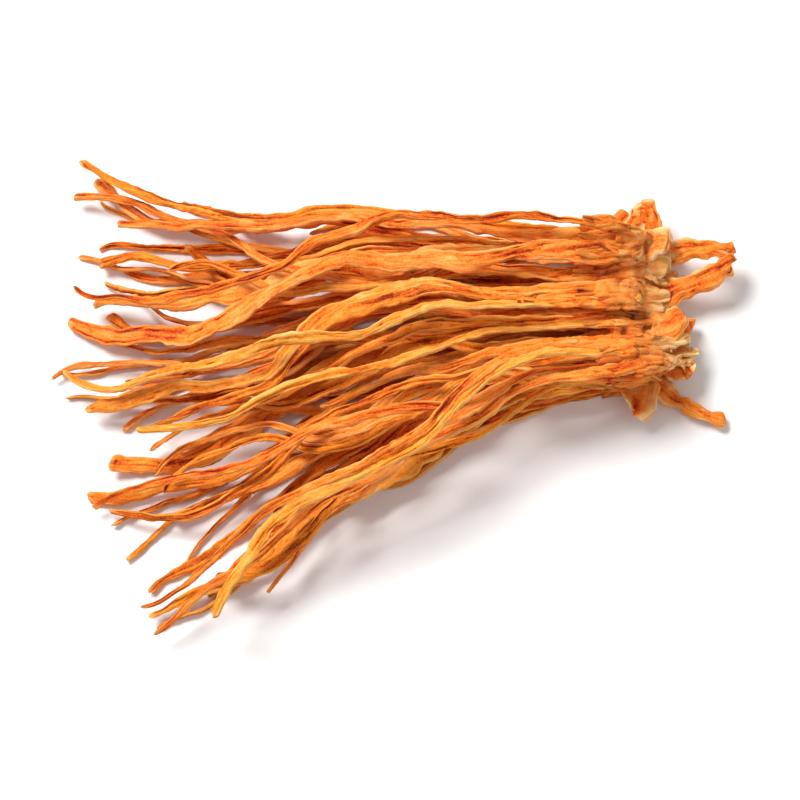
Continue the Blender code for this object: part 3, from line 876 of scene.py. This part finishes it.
def torn_flake(rng, root, ahead, side):
    """A thin curled lobe with a ragged end, as places on a grid from its root to its edge."""
    rows, columns = 17, 13
    length, half = rng.uniform(2.6, 5.6), rng.uniform(1.2, 2.6)
    bend, cup = rng.uniform(0.8, 2.6) * rng.choice((-1.0, 1.0)), rng.uniform(-0.5, 0.5)
    u, v = np.meshgrid(np.linspace(0.0, 1.0, rows), np.linspace(-1.0, 1.0, columns), indexing="ij")
    reach = u * (1.0 - 0.3 * v**2 * u + 0.22 * wander(rng, v.ravel(), 0.4).reshape(v.shape) * u)
    edge = 1.0 + 0.15 * wander(rng, u.ravel(), 0.3).reshape(u.shape)
    across = v * half * edge * np.sqrt(np.clip(1.05 - (1.6 * u - 0.85) ** 2, 0.1, 1.0))
    forward, height = length * np.sin(bend * reach) / bend, length * (1.0 - np.cos(bend * reach)) / bend
    pleats = wander(rng, v.ravel(), 0.45).reshape(v.shape)
    height = height + cup * half * v**2 + 0.3 * pleats * u
    upward = np.cross(ahead, side)
    return root + forward[..., None] * ahead + across[..., None] * side + height[..., None] * upward


def add_sheet(bm, places, thickness):
    """Adds a sheet of faces through a grid of places and gives it a thickness, all in metres."""
    rows, columns = places.shape[:2]
    made = bmesh.ops.create_grid(bm, x_segments=columns - 1, y_segments=rows - 1, size=1.0)
    verts = sorted(made["verts"], key=lambda v: (round(v.co.y, 4), round(v.co.x, 4)))
    for vert, place in zip(verts, places.reshape(-1, 3)):
        vert.co = place
    faces = list({face for vert in verts for face in vert.link_faces})
    bmesh.ops.solidify(bm, geom=faces, thickness=thickness)


def make_flakes(places, normals, material):
    """Torn lobes that stand out of the base's free side and top."""
    rng = np.random.default_rng(41)
    behind = places[:, 0] - wall_at(places[:, 1])
    good = (behind > 7.0) & (places[:, 2] > 2.0) & (normals[:, 0] + normals[:, 2] > 0.3)
    good &= closeness_to_limbs(places) < 0.2
    chosen = []
    for i in rng.permutation(np.flatnonzero(good)):
        if all(np.linalg.norm(places[i] - places[j]) > 3.2 for j in chosen):
            chosen.append(i)
        if len(chosen) == FLAKES:
            break
    bm = bmesh.new()
    for i in chosen:
        ahead = unit_rows(0.7 * normals[i] + (0.7, 0.0, 0.1) + rng.uniform(-0.5, 0.5, 3))
        side = unit_rows(np.cross(ahead, rng.uniform(-1.0, 1.0, 3)))
        root = places[i] - 0.9 * ahead
        add_sheet(bm, torn_flake(rng, root, ahead, side) * MM, 0.5 * MM)
    bmesh.ops.recalc_face_normals(bm, faces=bm.faces)
    mesh = bpy.data.meshes.new("torn_flakes")
    bm.to_mesh(mesh)
    bm.free()
    places = read_points(mesh) / MM
    places[:, 2] = np.maximum(places[:, 2], 0.02)
    mesh.vertices.foreach_set("co", (places * MM).astype(np.float32).ravel())
    torn = np.clip(0.5 + 0.9 * lump_noise(places, 3.0, 9), 0.0, 1.0)
    # The flakes' fold lines are only painted: their furrow value paints shade along them
    flesh_values(mesh, places, 0.5 * fold_noise(places, (3.0, 0.9, 0.9), 8), torn)
    mesh.update()
    mesh.shade_smooth()
    finish_piece("torn_flakes", mesh, material, "base_flesh", "base")


def make_feet(strands, template, material):
    """Each stem's own foot, which runs on over the base and ends torn."""
    rng = np.random.default_rng(55)
    bm = bmesh.new()
    unit = read_points(template)
    kept = {"furrow": [], "grain": [], "to_tip": []}
    for strand in strands:
        foot = template.copy()
        shaped = shape_strand(rng, foot_of(strand), unit, 0.0, 0.6, 0.0, torn_end=True)
        foot.vertices.foreach_set("co", (shaped["places"] * MM).astype(np.float32).ravel())
        bm.from_mesh(foot)
        bpy.data.meshes.remove(foot)
        for key, values in kept.items():
            values.append(shaped[key])
    mesh = bpy.data.meshes.new("torn_feet")
    bm.to_mesh(mesh)
    bm.free()
    places = read_points(mesh) / MM
    furrow, grain, to_tip = (np.concatenate(kept[key]) for key in ("furrow", "grain", "to_tip"))
    torn = np.clip(1.0 - to_tip / 9.0 + 0.4 * lump_noise(places, 4.0, 6), 0.0, 1.0)
    flesh_values(mesh, places, furrow, torn, grain)
    mesh.update()
    mesh.shade_smooth()
    finish_piece("torn_feet", mesh, material, "base_flesh", "base")


def make_limb(name, limb, template, material, seed):
    """A limb of the base, shrivelled like a stem and mostly torn off short."""
    rng = np.random.default_rng(seed)
    mesh = template.copy()
    shaped = shape_strand(rng, limb_strand(*limb), read_points(mesh), 0.2, 1.7, torn_end=name != "short_stem")
    places = shaped["places"]
    places[:, 2] = np.maximum(places[:, 2], 0.0)
    mesh.vertices.foreach_set("co", (places * MM).astype(np.float32).ravel())
    torn = 0.35 + 0.5 * lump_noise(places, 3.0, seed) + 0.5 * np.exp(-shaped["to_tip"] / 1.5)
    from_root = 0.9 * shaped["from_root"] - 8.0
    flesh_values(mesh, places, shaped["furrow"], np.clip(torn, 0.0, 1.0), shaped["grain"], from_root)
    mesh.update()
    finish_piece(name, mesh, material, "base_flesh", "base")


def make_floor():
    bm = bmesh.new()
    bmesh.ops.create_grid(bm, x_segments=1, y_segments=1, size=3.0)
    bmesh.ops.translate(bm, verts=bm.verts, vec=(0.0, 0.0, -0.1 * MM))
    mesh = bpy.data.meshes.new("floor")
    bm.to_mesh(mesh)
    bm.free()
    material = bpy.data.materials.new("matt_white_paper")
    material.use_nodes = True
    shader = material.node_tree.nodes["Principled BSDF"]
    shader.inputs["Base Color"].default_value = linear(FLOOR_WHITE)
    shader.inputs["Roughness"].default_value = 0.9
    mesh.materials.append(material)
    floor = bpy.data.objects.new("floor", mesh)
    bpy.context.scene.collection.objects.link(floor)


def aim(thing, place, target):
    thing.location = place
    thing.rotation_euler = (Vector(target) - Vector(place)).to_track_quat("-Z", "Y").to_euler()
    bpy.context.scene.collection.objects.link(thing)


def make_camera(target):
    """A long lens at the photograph's angle."""
    azimuth, elevation = math.radians(VIEW_AZIMUTH), math.radians(VIEW_ELEVATION)
    behind = Vector((math.sin(azimuth) * math.cos(elevation), -math.cos(azimuth) * math.cos(elevation), math.sin(elevation)))
    data = bpy.data.cameras.new("camera")
    data.sensor_width = 36.0
    data.lens = data.sensor_width * VIEW_DISTANCE_M / (VIEW_WIDTH * MM)
    camera = bpy.data.objects.new("camera", data)
    aim(camera, target + behind * VIEW_DISTANCE_M, target)
    bpy.context.scene.camera = camera


def make_light(name, place, target, size, power):
    data = bpy.data.lights.new(name, "AREA")
    data.shape = "DISK"
    data.size = size
    data.energy = power
    aim(bpy.data.objects.new(name, data), place, target)


def light_studio(target):
    world = bpy.data.worlds.new("soft_room")
    world.use_nodes = True
    world.node_tree.nodes["Background"].inputs["Color"].default_value = (1.0, 1.0, 1.0, 1.0)
    world.node_tree.nodes["Background"].inputs["Strength"].default_value = 0.42
    bpy.context.scene.world = world
    make_light("key_light", target + Vector((-0.4, 0.5, 0.95)), target, 0.55, 16.5)
    make_light("fill_light", target + Vector((0.6, -0.7, 0.9)), target, 0.9, 1.6)
    bpy.context.scene.view_settings.view_transform = "Standard"


low, high = (Vector(corner) for corner in cad_box)
middle = (low + high) / 2.0
towards_front = Vector((math.sin(math.radians(VIEW_AZIMUTH)), -math.cos(math.radians(VIEW_AZIMUTH)), 0.0))
make_camera(middle + towards_front * VIEW_TOWARDS_FRONT * MM)
light_studio(middle)
make_floor()

stem_material = dried_stem_flesh()
templates = {1: tube_template(1, ALONG), 2: tube_template(2, ALONG)}
templates["limb"] = tube_template(1, LIMB_RINGS)
templates["web"] = tube_template(1, WEB_RINGS)
templates["foot"] = tube_template(1, FOOT_RINGS, FOOT_AROUND)
stem_names = sorted(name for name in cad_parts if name.startswith("stem_"))
all_strands = []
for stem_index, stem_name in enumerate(stem_names):
    all_strands += make_stem(stem_name, stem_index, templates, stem_material)
mat_material = dried_mat_flesh("dried_mat_flesh", 0.1, 1.0)
foot_material = dried_mat_flesh("dried_foot_flesh", 1.0, 1.0)
limb_material = dried_mat_flesh("dried_limb_flesh", 1.0, -1.0)
foot_rng = np.random.default_rng(7)
footed_strands = [with_foot(foot_rng, strand) for strand in all_strands]
make_flakes(*make_base(footed_strands, templates["web"], mat_material), mat_material)
make_feet(footed_strands, templates["foot"], foot_material)
for limb_index, (limb_name, limb) in enumerate(LIMBS.items()):
    make_limb(limb_name, limb, templates["limb"], limb_material, 300 + limb_index)
for template in templates.values():
    bpy.data.meshes.remove(template)
